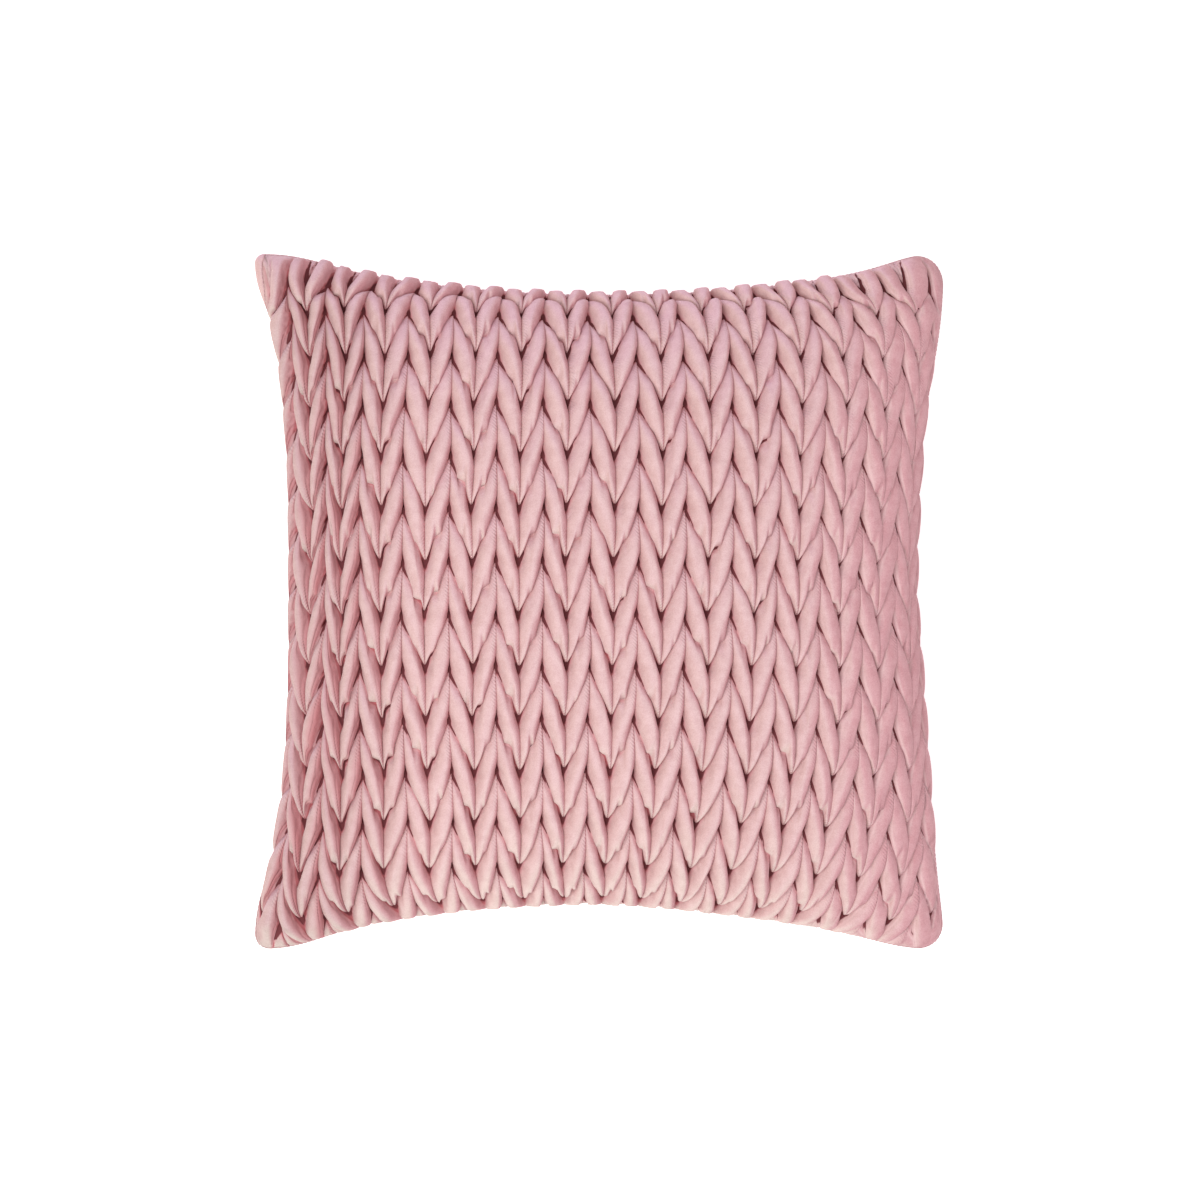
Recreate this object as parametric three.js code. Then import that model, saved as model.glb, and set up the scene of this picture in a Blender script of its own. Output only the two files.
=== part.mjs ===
// A square velvet cushion lying on its back. Its front is smocked into columns of
// slanting puffed folds, its sides are drawn in between the corners, and a plain
// velvet back is stretched under it from seam to seam.
// Millimetres, +Z up, the front facing up, and the origin on the floor under the middle.

import * as THREE from "three";

// Whole cushion
const CUT = 450;                            // cloth of the front, laid flat, each way
const SPAN = { across: 434, along: 438 };   // seam, from corner to corner
const SEAM_HEIGHT = 64;                     // seam above the floor
const CROWN = 76;                           // front's creases above the seam, at the middle
const FULLNESS = 2.8;                       // how square the crown's section is
const REST_SHARE = 0.6;                     // part of the half span that lies flat on the floor
const REST_FULLNESS = 0.86;                 // crown share at which the back meets the floor
const BELLY = 1.6;                          // how roundly the back leaves the floor

// Smocking, counted in columns from the left and in rows from the top
const COLUMNS = { first: -0.3, last: 31.45 };
const ROWS = { first: 0.75, last: 14.68 };
const FOLD_RISE = 7;                        // top of a fold above its creases
const FOLD_ROUNDNESS = 0.35;                // low values give a fold steeper shoulders
const KNOT_DEPTH = 1.5;                     // stitched knots below the creases
const FOLD_UNEVENNESS = 0.12;               // share by which one fold differs from the next
const SEAM_TAKE_UP = { across: 12, along: 26 };   // cloth in which the folds flatten into the seam
const CELLS = { perFold: 3, atTop: 3, atBottom: 5 };
const SCATTER = { column: 12.9898, row: 78.233, spread: 43758.5453 };

// Back panel
const PANEL_THICKNESS = 1.8;
const CLEARANCE = 0.3;                      // between the two pieces
const RIM_POINTS = 10;                      // on each side of the outline
const RING_SHARES = [1, 0.985, 0.95, 0.88, 0.78, REST_SHARE];

// How far each side is drawn in at its middle, and how steeply it comes back to the
// corner at its lower or left end and at its upper or right end
const SIDES = {
  left: { draw: 25, towardsLow: 2.2, towardsHigh: 3.0 },
  right: { draw: 21, towardsLow: 1.3, towardsHigh: 1.4 },
  top: { draw: 28, towardsLow: 1.6, towardsHigh: 2.0 },
  bottom: { draw: 30, towardsLow: 1.9, towardsHigh: 1.4 },
};
const CORNER_RADII = { topLeft: 6, topRight: 18, bottomLeft: 8, bottomRight: 14 };

// Working fineness: samples of the crown's section, the step that a slope is taken
// over, and how near counts as the same place
const SECTION_SAMPLES = 200;
const SLOPE_STEP = 0.004;
const SAME_PLACE = 0.01;

const COLOURS = { smockedFront: 0xd8a3ab, backPanel: 0xcf98a2 };

// Middle and half size of the smocked panel, in columns and rows
const MIDDLE = {
  column: (COLUMNS.first + COLUMNS.last) / 2,
  row: (ROWS.first + ROWS.last) / 2,
};
const HALF = {
  columns: (COLUMNS.last - COLUMNS.first) / 2,
  rows: (ROWS.last - ROWS.first) / 2,
};

// Height of a cushion's section at a share r of its half span, from 1 to 0
const crest = (r) => Math.sqrt(Math.max(0, 1 - Math.abs(r) ** FULLNESS));

// Cloth runs evenly over the crown, so its columns close up where the crown turns
// down. Returns a function from a share of the cloth to a share of the half span.
function spanByCloth(halfSpan) {
  const spans = [0];
  const lengths = [0];
  for (let i = 1; i <= SECTION_SAMPLES; i += 1) {
    spans.push(Math.sin((Math.PI / 2) * (i / SECTION_SAMPLES)));
    const run = (spans[i] - spans[i - 1]) * halfSpan;
    const fall = (crest(spans[i - 1]) - crest(spans[i])) * CROWN;
    lengths.push(lengths[i - 1] + Math.hypot(run, fall));
  }
  return (share) => {
    const length = Math.min(1, Math.abs(share)) * lengths[SECTION_SAMPLES];
    let i = 1;
    while (i < SECTION_SAMPLES && lengths[i] < length) i += 1;
    const part = (length - lengths[i - 1]) / (lengths[i] - lengths[i - 1]);
    return Math.sign(share) * THREE.MathUtils.lerp(spans[i - 1], spans[i], part);
  };
}

const halfSpan = { across: SPAN.across / 2, along: SPAN.along / 2 };
const acrossByCloth = spanByCloth(halfSpan.across - SIDES.left.draw);
const alongByCloth = spanByCloth(halfSpan.along - SIDES.top.draw);
const clothLength = {
  column: CUT / (2 * HALF.columns),
  row: CUT / (2 * HALF.rows),
};

function drawnIn(side, share) {
  const power = share < 0 ? side.towardsLow : side.towardsHigh;
  return side.draw * (1 - Math.abs(share) ** power);
}

// Turns the corner of a square of shares into a round one
function roundedCorner(a, b) {
  const name = (b > 0 ? "top" : "bottom") + (a > 0 ? "Right" : "Left");
  const radius = CORNER_RADII[name] / halfSpan.across;
  const p = (Math.abs(a) - 1 + radius) / radius;
  const q = (Math.abs(b) - 1 + radius) / radius;
  if (p <= 0 || q <= 0) return [a, b];
  return [
    Math.sign(a) * (1 - radius + radius * p * Math.sqrt(1 - (q * q) / 2)),
    Math.sign(b) * (1 - radius + radius * q * Math.sqrt(1 - (p * p) / 2)),
  ];
}

// Plan position of a point at shares a, b of the half spans
function plan(a, b) {
  const [across, along] = roundedCorner(a, b);
  const sideways = across < 0 ? SIDES.left : SIDES.right;
  const lengthways = along < 0 ? SIDES.bottom : SIDES.top;
  return [
    across * (halfSpan.across - drawnIn(sideways, along)),
    along * (halfSpan.along - drawnIn(lengthways, across)),
  ];
}

// Point of the crowned front at shares u, v of the cloth, at the creases' level
function crownPoint(u, v) {
  const a = u + (acrossByCloth(u) - u) * crest(v) ** 2;
  const b = v + (alongByCloth(v) - v) * crest(u) ** 2;
  const [x, y] = plan(a, b);
  return new THREE.Vector3(x, y, SEAM_HEIGHT + CROWN * crest(a) * crest(b));
}

function crownNormal(u, v) {
  const stepU = Math.min(SLOPE_STEP, (1 - Math.abs(u)) / 2);
  const stepV = Math.min(SLOPE_STEP, (1 - Math.abs(v)) / 2);
  const alongU = crownPoint(u + stepU, v).sub(crownPoint(u - stepU, v));
  const alongV = crownPoint(u, v + stepV).sub(crownPoint(u, v - stepV));
  return alongU.cross(alongV).normalize();
}

// Distance across a column from the crease where the folds' tops meet, 0 to 1
const fromTopCrease = (column) => Math.abs(column - (2 * Math.floor(column / 2) + 1));

function unevenness(column, row) {
  const wave = Math.sin(column * SCATTER.column + row * SCATTER.row) * SCATTER.spread;
  return (wave - Math.floor(wave)) * 2 - 1;
}

// Rise of the smocked cloth above the creases' level
function foldRise(column, row) {
  const p = fromTopCrease(column);
  const slanted = row - p;
  const q = slanted - Math.floor(slanted);
  const isWhole = (count) => Math.abs(count - Math.round(count)) < SAME_PLACE;
  const atKnot = isWhole(column) && isWhole(slanted);
  const puff = Math.max(0, 16 * p * (1 - p) * q * (1 - q)) ** FOLD_ROUNDNESS;
  const uneven = 1 + FOLD_UNEVENNESS * unevenness(Math.floor(column), Math.floor(slanted));
  return atKnot ? -KNOT_DEPTH : FOLD_RISE * puff * uneven;
}

function frontPoint(column, row) {
  const u = (column - MIDDLE.column) / HALF.columns;
  const v = (MIDDLE.row - row) / HALF.rows;
  const point = crownPoint(u, v);
  const toSide = (1 - Math.abs(u)) * HALF.columns * clothLength.column;
  const toEnd = (1 - Math.abs(v)) * HALF.rows * clothLength.row;
  if (Math.min(toSide, toEnd) < SAME_PLACE) return point;
  const takeUp = THREE.MathUtils.smoothstep(toSide, 0, SEAM_TAKE_UP.across)
    * THREE.MathUtils.smoothstep(toEnd, 0, SEAM_TAKE_UP.along);
  return point.addScaledVector(crownNormal(u, v), foldRise(column, row) * takeUp);
}

// Lines of points down the smocking: both cut edges, each crease and the folds between
function columnLines() {
  const lines = [COLUMNS.first];
  const whole = { first: Math.ceil(COLUMNS.first), last: Math.floor(COLUMNS.last) };
  for (let step = 0; step <= (whole.last - whole.first) * CELLS.perFold; step += 1) {
    lines.push(whole.first + step / CELLS.perFold);
  }
  lines.push(COLUMNS.last);
  return lines;
}

// Points down one line: they follow the folds' zigzag, and run straight at both ends
function rowsDown(column) {
  const zigzag = fromTopCrease(column);
  const lastWhole = Math.floor(ROWS.last) - 1;
  const rows = [];
  for (let step = 0; step < CELLS.atTop; step += 1) {
    rows.push(THREE.MathUtils.lerp(ROWS.first, 1 + zigzag, step / CELLS.atTop));
  }
  for (let step = 0; step <= (lastWhole - 1) * CELLS.perFold; step += 1) {
    rows.push(1 + zigzag + step / CELLS.perFold);
  }
  for (let step = 1; step <= CELLS.atBottom; step += 1) {
    rows.push(THREE.MathUtils.lerp(lastWhole + zigzag, ROWS.last, step / CELLS.atBottom));
  }
  return rows;
}

// The smocked face as points and triangles, with its edge from the top left corner
// down, across, up and back, each edge point with its share of the way round
function smockedFace() {
  const lines = columnLines();
  const grid = lines.map((column) => rowsDown(column).map((row) => ({ column, row })));
  const depth = grid[0].length;
  const points = grid.flat().map(({ column, row }) => frontPoint(column, row));
  const at = (line, row) => line * depth + row;
  const triangles = [];
  for (let i = 0; i + 1 < lines.length; i += 1) {
    const leansRight = fromTopCrease(lines[i + 1]) > fromTopCrease(lines[i]);
    for (let k = 0; k + 1 < depth; k += 1) {
      const [a, b, c, d] = [at(i, k), at(i + 1, k), at(i, k + 1), at(i + 1, k + 1)];
      if (leansRight) triangles.push([a, c, d], [a, d, b]);
      else triangles.push([a, c, b], [b, c, d]);
    }
  }
  const edge = [];
  const last = { line: lines.length - 1, row: depth - 1 };
  const downShare = (line, row) => (grid[line][row].row - ROWS.first) / (2 * HALF.rows);
  const acrossShare = (line) => (lines[line] - COLUMNS.first) / (2 * HALF.columns);
  for (let k = 0; k < last.row; k += 1) edge.push({ index: at(0, k), way: downShare(0, k) });
  for (let i = 0; i < last.line; i += 1) {
    edge.push({ index: at(i, last.row), way: 1 + acrossShare(i) });
  }
  for (let k = last.row; k > 0; k -= 1) {
    edge.push({ index: at(last.line, k), way: 3 - downShare(last.line, k) });
  }
  for (let i = last.line; i > 0; i -= 1) edge.push({ index: at(i, 0), way: 4 - acrossShare(i) });
  return { points, triangles, edge };
}

// Way round the square outline as shares of the half spans, from the top left corner
function outlineShares(way) {
  const along = (way % 1) * 2 - 1;
  return [[-1, -along], [along, -1], [1, along], [-along, 1]][Math.floor(way)];
}

// Rings of points on the outside of the back, from the seam to the flat that rests
function backRings() {
  const ways = [];
  for (let side = 0; side < 4; side += 1) {
    for (let step = 0; step < RIM_POINTS; step += 1) {
      const closer = Math.sin(Math.PI * (step / RIM_POINTS - 0.5)) / 2 + 0.5;
      ways.push(side + closer);
    }
  }
  const rings = RING_SHARES.map((share) => {
    const rounding = THREE.MathUtils.smoothstep(1 - share, 0, 1 - REST_SHARE);
    return ways.map((way) => {
      const square = new THREE.Vector2(...outlineShares(way));
      const round = square.clone().normalize();
      const { x: a, y: b } = square.lerp(round, rounding).multiplyScalar(share);
      const fullness = Math.min(1, (crest(a) * crest(b)) / REST_FULLNESS);
      const [x, y] = plan(a, b);
      return new THREE.Vector3(x, y, SEAM_HEIGHT * (1 - fullness) ** BELLY);
    });
  });
  return { ways, rings };
}

const ringPoints = 4 * RIM_POINTS;

// Triangles over the rings and their middle point, which comes last, facing down
function ringTriangles(first, rings) {
  const triangles = [];
  const middle = first + rings * ringPoints;
  for (let ring = 0; ring < rings; ring += 1) {
    for (let i = 0; i < ringPoints; i += 1) {
      const next = (i + 1) % ringPoints;
      const [a, b] = [first + ring * ringPoints + i, first + ring * ringPoints + next];
      if (ring + 1 === rings) triangles.push([b, a, middle]);
      else triangles.push([b, a, a + ringPoints], [b, a + ringPoints, b + ringPoints]);
    }
  }
  return triangles;
}

function closedGeometry(points, triangles) {
  const geometry = new THREE.BufferGeometry();
  geometry.setFromPoints(points);
  geometry.setIndex(triangles.flat());
  geometry.computeVertexNormals();
  return geometry;
}

// Outside of the back, and the same surface moved inwards by a depth
function backSurface() {
  const { ways, rings } = backRings();
  const points = [...rings.flat(), new THREE.Vector3(0, 0, 0)];
  const normals = closedGeometry(points, ringTriangles(0, rings.length)).attributes.normal;
  const inwards = points.map((_, index) => {
    const normal = new THREE.Vector3().fromBufferAttribute(normals, index);
    if (index < ringPoints) normal.setZ(0);
    return normal.normalize().negate();
  });
  const movedIn = (depth) => points.map((p, i) => p.clone().addScaledVector(inwards[i], depth));
  return { ways, ringCount: rings.length, movedIn };
}

// Triangles, facing down, between the front's edge and a ring inside it
function ledgeTriangles(edge, ways, firstRing) {
  const triangles = [];
  const outer = [...edge, { index: edge[0].index, way: 4 }];
  const inner = ways.map((way, i) => ({ index: firstRing + i, way }));
  inner.push({ index: firstRing, way: 4 });
  let [i, j] = [0, 0];
  while (i + 1 < outer.length || j + 1 < inner.length) {
    const outerWay = outer[i + 1]?.way ?? Infinity;
    const innerWay = inner[j + 1]?.way ?? Infinity;
    if (outerWay <= innerWay) {
      triangles.push([outer[i + 1].index, outer[i].index, inner[j].index]);
      i += 1;
    } else {
      triangles.push([inner[j].index, inner[j + 1].index, outer[i].index]);
      j += 1;
    }
  }
  return triangles;
}

// The filled cushion: smocked face, narrow ledge at the seam, and the pad's underside
function smockedFrontGeometry(back) {
  const face = smockedFace();
  const underside = back.movedIn(PANEL_THICKNESS + CLEARANCE);
  const first = face.points.length;
  return closedGeometry(
    [...face.points, ...underside],
    [
      ...face.triangles,
      ...ledgeTriangles(face.edge, back.ways, first),
      ...ringTriangles(first, back.ringCount),
    ],
  );
}

// The back panel: outer and inner faces, joined by a rim just under the front's ledge
function backPanelGeometry(back) {
  const outside = back.movedIn(0);
  const inside = back.movedIn(PANEL_THICKNESS);
  for (let i = 0; i < ringPoints; i += 1) {
    outside[i].z -= CLEARANCE;
    inside[i].z -= CLEARANCE;
  }
  const first = outside.length;
  const faceUp = ringTriangles(first, back.ringCount).map(([a, b, c]) => [a, c, b]);
  const rim = [];
  for (let i = 0; i < ringPoints; i += 1) {
    const next = (i + 1) % ringPoints;
    rim.push([i, next, first + i], [first + i, next, first + next]);
  }
  return closedGeometry(
    [...outside, ...inside],
    [...ringTriangles(0, back.ringCount), ...faceUp, ...rim],
  );
}

function velvetMesh(name, geometry, color) {
  const material = new THREE.MeshStandardMaterial({ color, roughness: 0.85, metalness: 0 });
  const mesh = new THREE.Mesh(geometry, material);
  mesh.name = name;
  return mesh;
}

const back = backSurface();
const cushion = new THREE.Group();
cushion.add(velvetMesh("smocked_front", smockedFrontGeometry(back), COLOURS.smockedFront));
cushion.add(velvetMesh("back_panel", backPanelGeometry(back), COLOURS.backPanel));

// The origin is under the middle of the whole cushion
const middle = new THREE.Box3().setFromObject(cushion).getCenter(new THREE.Vector3());
cushion.position.set(-middle.x, -middle.y, 0);

export default cushion;
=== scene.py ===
import math

import bpy
import numpy as np
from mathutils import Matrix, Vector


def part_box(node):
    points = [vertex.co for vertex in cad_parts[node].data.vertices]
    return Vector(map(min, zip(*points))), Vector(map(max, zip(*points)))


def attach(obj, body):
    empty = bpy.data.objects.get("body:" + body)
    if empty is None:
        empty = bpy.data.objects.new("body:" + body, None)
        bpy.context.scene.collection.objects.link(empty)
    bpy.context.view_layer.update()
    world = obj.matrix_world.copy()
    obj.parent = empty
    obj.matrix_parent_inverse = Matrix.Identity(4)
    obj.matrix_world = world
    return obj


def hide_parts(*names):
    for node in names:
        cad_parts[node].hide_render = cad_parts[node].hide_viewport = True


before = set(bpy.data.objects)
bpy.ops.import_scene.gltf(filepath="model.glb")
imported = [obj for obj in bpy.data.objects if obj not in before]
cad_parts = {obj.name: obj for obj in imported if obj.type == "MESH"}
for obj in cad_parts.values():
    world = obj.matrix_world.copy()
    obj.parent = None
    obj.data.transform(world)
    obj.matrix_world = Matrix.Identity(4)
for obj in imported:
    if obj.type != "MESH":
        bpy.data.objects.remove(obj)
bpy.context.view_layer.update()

# A square velvet cushion that lies on its back. Its front is smocked into columns of
# slanting puffed folds, and a plain velvet back is stretched under it from seam to seam.
# Metres. Folds are counted in columns from the left and in rows from the top, as in part.mjs.

back_low, back_high = (np.array(corner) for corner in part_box("back_panel"))
rng = np.random.default_rng(7)

# Whole cushion
CUT = 0.45  # cloth of each panel, laid flat, each way
HALF_ACROSS, HALF_ALONG = 0.217, 0.219  # of its outline, before the sides are drawn in
SEAM_HEIGHT = 0.064
CROWN = 0.076  # height of the crown over the seam
FULLNESS = 2.8  # how square the crown's section is
REST_SHARE = 0.6  # share of the half span inside which the back is round in plan
REST_FULLNESS = 0.86  # how full the back is where it begins to lie flat
BELLY = 1.6  # how gently it turns up from there
DRAW = {  # depth, then its two powers, then the two shares left flat at the corners
    "left": (0.025, 2.7, 3.3, 0.21, 0.15),
    "right": (0.0186, 1.05, 2.0, 0.12, 0.33),
    "bottom": (0.030, 2.05, 1.5, 0.19, 0.20),
    "top": (0.026, 1.9, 2.2, 0.19, 0.14),
}
CORNER_RADII = {"top": (0.020, 0.006), "bottom": (0.017, 0.010)}  # at the right, and at the left

# Smocking
FIRST_COLUMN, LAST_COLUMN = -0.3, 32.1
FIRST_ROW, LAST_ROW = 0.75, 14.68
MIDDLE_COLUMN = (FIRST_COLUMN + LAST_COLUMN) / 2
MIDDLE_ROW = (FIRST_ROW + LAST_ROW) / 2
HALF_COLUMNS = (LAST_COLUMN - FIRST_COLUMN) / 2
HALF_ROWS = (LAST_ROW - FIRST_ROW) / 2
COLUMN_CLOTH = CUT / (2 * HALF_COLUMNS)
ROW_CLOTH = CUT / (2 * HALF_ROWS)
EDGE_DRIFT = -0.57  # columns by which the right edge's place changes from its middle to its top

# How far the smocking strays from even columns and rows: a bow that is greatest midway, a skew that
# spreads or crowds both halves and a pinch towards both sides, at three places across or along it
STRAY_ACROSS = {
    "bottom": (0.0029, -0.0222, -0.0014),
    "middle": (0.0048, 0.0040, -0.0016),
    "top": (0.0023, -0.0079, -0.0003),
}
STRAY_ALONG = {"left": (-0.0002, -0.0108), "middle": (0.0017, 0.0020), "right": (-0.0017, -0.0109)}
STRAY_PLACE = 0.8  # share of the half span at which the two outer ones are known
STRAY_FADE = {"across": 0.08, "along": 0.05}  # shares over which the moves below run out at an edge
CORNER_STRAY = {  # the same at the top corners, with how far it reaches
    "left": (0.0044, 0.0050, 0.35, 0.30),
    "right": (-0.0084, 0.0068, 0.50, 0.25),
}
LEFT_STRAY = {"move": 0.0070, "place": (-0.87, 0.20), "reach": (0.13, 0.42)}  # to the right at the left edge
TOP_DROP = 0.045  # how much lower the first knots lie below the top seam, of the half length
SEAM_PULL = 0.86  # share of the half span beyond which the cloth is drawn in to the seam

FOLD_RISE = {"left": 0.0112, "middle": 0.0080, "right": 0.0053}  # top of a fold above its creases
LEFT_CHANGE, RIGHT_CHANGE = (0.5, 0.95), (0.4, 0.9)  # parts of the half width where such values change
CREASE_DEPTH = 0.0010  # how much deeper the creases are drawn than the plain crown
FOLD_LEAN = (0.30, -0.22)  # folds lean to the right and down, for each unit of rise
SHOULDER = 2.4  # how square a fold's section is
ROUNDNESS = 0.44  # how gently its sides turn into its top
SIDE_SHARE = {"left": 1.0, "middle": 0.80, "right": 0.36}  # depth of the straight creases, of the others'
FIRST_CREASE_END = 0.8  # column up to which they gain this depth, from none at the left edge
SLANT_SHARE = 0.78  # depth of the slanting creases between knots, of that at the knots
SLANT_FADE = 0.35  # share of their length, from each knot, over which it changes
BULGE = {"straight": 0.0010, "slanting": 0.0008}  # how far folds press over their creases
KNOT_DEPTH = 0.0014
KNOT_RADIUS = 0.0022
KNOT_SQUEEZE = 0.6  # what distances down a column count for, beside those across
KNOT_GAP = {"top": 0.15, "bottom": 0.27}  # shares of a fold's width that open at its knots
KNOT_LENGTH = 0.26  # and of its length
KNOT_TILT = {"top": 0.4, "bottom": -0.6}  # how these gaps change from the middle to the top edge
KNOT_SIDES = {"left": 1.5, "middle": 1.0, "right": 0.8}  # and to the sides
KNOT_GRIP = 0.5  # nearness to a knot from which all creases have their full depth
WEDGE = {  # share of a fold left open under the one above, by its end and the side
    "left end": {"left": 0.02, "middle": 0.13, "right": 0.15},
    "right end": {"left": 0.24, "middle": 0.03, "right": 0.01},
}
WEDGE_REACH = {"left end": (0.05, 0.6), "right end": (0.4, 0.95)}  # parts of the crease where it changes
WEDGE_SIZES = (0.6, 1.3)
WEDGE_SHADE, WEDGE_LEAST = (-0.01, 0.03), (0.02, 0.06)  # how deep in it, and how open, it is painted dark as shade
NOTCH = {"share": 0.03, "width": 0.06, "shift": 0.07}  # share left open in the same way at a kink
TUCK = 0.6  # share by which a fold's top tip sinks under the one above
TUCK_REACH = (0.45, 0.32)  # shares of a fold's width and height that this reaches
UNEVENNESS = 0.09  # by which folds are larger or smaller than others
KNOT_WANDER = (0.0006, 0.0010)  # how far knots stray from even columns and rows
# A slanting crease steps sideways, and cloth is dented beside it: metres, then shares of a fold
KINK = {"step": 0.0021, "turn": 0.022, "runs": (0.15, 0.24), "breadth": 0.16, "knot": 0.1}
KINK_PLACES = (0.48, 0.74)  # part of the crease where it does
KINK_RARITY = 1.4  # how much rarer large kinks are
DIMPLE = {"depth": 0.0034, "off": 0.03, "slant": 0.2, "width": 0.05, "below": 0.1, "length": 0.17, "fade": 3}
DIMPLE_SIZES = (-0.6, 1.0)  # below zero it lies in the fold under the crease, and else in the one above
FOLDS = (40, 20)  # columns and rows of folds in the tables of their own sizes
FOLDS_BEFORE = 2  # columns and rows of folds counted below zero
SEAM_TAKE_UP = {"across": 0.012, "top": 0.011, "bottom": 0.026}  # distances over which folds rise from it
SEAM_GATHER = {"top": 0.0035, "bottom": 0.0012}  # creases cut in beside the seam
OVERHANG = {"top": 0.0005, "bottom": 0.0004, "left": 0.0022, "right": 0.0042}  # folds past the seam
SEAM_FADE = 0.006  # distance from the seam over which these creases set in
HELD_REACH = (0.004, 0.05)  # distances from the top and bottom over which folds come free to lean
CAP = {  # how full the top row's folds are, and how they meet the seam
    "rising": 1.1, "falling": 0.9, "rows": (1.5, 0.7), "overhang": 0.0009, "rounding": 0.0030, "turn": 2.5,
}
BOTTOM_LIFT = 0.0024  # fills the creases out to the bottom edge, which is smooth
BOTTOM_LIFT_REACH = (0.030, 0.006)
CORNER_CALM = 0.021  # plain cloth at the top left corner
RIB_REACH = 0.28  # share of a fold's width that fine gathers cover
RIB_START = (0.35, 0.7)  # shares of a fold's height over which they set in towards its tip
FURROW_REACH = 0.12  # the same width in the furrows of the top rows
FURROW_ROWS = (5.0, 2.0)
RIB_PITCH = 0.0014
RIB_SLANT = math.radians(50)
HIDDEN_SHARE = 0.5  # share of the left edge's folds that lies under their own side

SPARE_CLOTH = 0.035  # cloth in a fold beyond its smooth shape, which lets it pucker
FILLING_PRESSURE = 3.0
SETTLE_FRAMES = 14
SETTLE_QUALITY = 4
SETTLE_CAP = 0.0011  # furthest that a point moves while the folds settle
SETTLE_SMOOTHINGS = 2  # rounds in which these moves are evened out

# Mesh of the front
LINES_PER_COLUMN = 16
POINTS_PER_FOLD = 12
EDGE_POINTS = 4
EDGE_ROWS = 0.06  # rows between an edge and the first or last crease
END_POINTS = 14
RIGHT_LINES = 18
LEFT_LINES = 3
CLOSE_SHARE, EVEN_SHARE = 0.7, 0.3  # how far points crowd at a fold's ends, or lie evenly
CLOSER_LINES = {  # where more lines lie: place across a fold, how many more, and how far
    "top crease": (0.0, 2.2, 0.06),
    "bottom crease": (1.0, 2.2, 0.06),
    "kink": (0.62, 0.9, 0.15),
}
UNDER_RINGS = (1, 0.9, REST_SHARE)  # shares of the half span at which its under side has rings
SLOPE_STEP = 0.003  # share of the half span over which the slope is measured
SAMPLES = {"cloth": 400, "spacing": 500, "edge": 401, "outline": 801}  # steps in curves that are looked up

# Back panel
PANEL_THICKNESS = 0.0018
CLEARANCE = 0.0003
RIM_POINTS = 100  # on each side of the seam
CORNER_POINTS = 24  # more, where the strip at the top left corner ends
PANEL_RINGS = 44
RING_SPREAD = 1.3  # how much closer the rings lie beside the seam
INNER_RING = 0.04
PUCKERS = 150  # soft puckers that run in over the back from its seam
PUCKER_HEIGHT = 0.0028
PUCKER_SIZES = (0.2, 1)  # shares of that height
PUCKER_WIDTH = 0.0060
PUCKER_REACHES = (0.08, 0.24)  # shares of the half span that they run in, before corners lengthen them
PUCKER_START = (0.004, 0.05)  # shares over which they rise beside the seam
PUCKER_LENGTHS = (0.7, 0.9)  # times their reach at the middle of a side, and more at the corners
SEAM_STRIP = 0.0007  # plain cloth that turns over onto the front, all round
CORNER_STRIP = 0.0048  # the same at the top left corner
STRIP_LENGTHS = (0.035, 0.085)  # shares of the left side over which that strip holds and runs out
STRIP_START = 3.985  # way round at which it begins, just before that corner
STRIP_POINTS = 4
SEAM_POINTS = 900
STITCH = {"Pitch": 0.0028, "Length": 0.0023, "Thickness": 0.0005}
STITCH_LIFT = 0.1  # share of its thickness by which a stitch's middle lies over the cloth
BEAD = {"Segments": 6, "Rings": 5, "Radius": 0.5}

# Camera, light and floor
VIEW_HEIGHT = 2.4
VIEW_CENTRE = (0.00095, 0.00063)
PICTURE_PIXELS, PIXEL = 1200, 0.00063  # a pixel's width at the seam's height
SENSOR = 36.0
KEY_LIGHT = {"place": (-0.6, -0.45, 2.0), "size": 1.3, "power": 27}
WORLD_LIGHT, FLOOR_LIGHT = 0.68, 0.5
FLOOR_HALF = 4.0
WHITE, PALE, BLACK = (1, 1, 1, 1), (0.95, 0.95, 0.95, 1), (0, 0, 0, 1)


# Shape of the cushion
def crest(share):
    return np.sqrt(np.maximum(0.0, 1.0 - np.abs(share) ** FULLNESS))


def span_by_cloth(half_span):
    """Turns shares of the cloth into shares of the span, which the crown makes shorter."""
    spans = np.sin(np.linspace(0, math.pi / 2, SAMPLES["cloth"]))
    steps = np.hypot(np.diff(spans) * half_span, np.diff(crest(spans)) * CROWN)
    lengths = np.concatenate([[0.0], np.cumsum(steps)]) / steps.sum()
    return lambda share: np.sign(share) * np.interp(np.abs(share), lengths, spans)


across_by_cloth = span_by_cloth(HALF_ACROSS - DRAW["left"][0])
along_by_cloth = span_by_cloth(HALF_ALONG - DRAW["top"][0])


def hump(*shares):
    """1 where all shares are 0, falling smoothly away as any of them grows to 1 and past it."""
    return np.exp(-sum(share ** 2 for share in shares))


def drawn_in(share, low_or_left, high_or_right, other):
    """How far a side is drawn in at a share of it, where other tells which of two sides it is."""
    draw, power_low, power_high, flat_low, flat_high = (
        np.where(other < 0, first, second) for first, second in zip(low_or_left, high_or_right)
    )
    from_corner = (1 - np.abs(share)) / np.where(share < 0, flat_low, flat_high)
    drawn = draw * (1.0 - np.abs(share) ** np.where(share < 0, power_low, power_high))
    return drawn * (1 - hump(from_corner))


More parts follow.
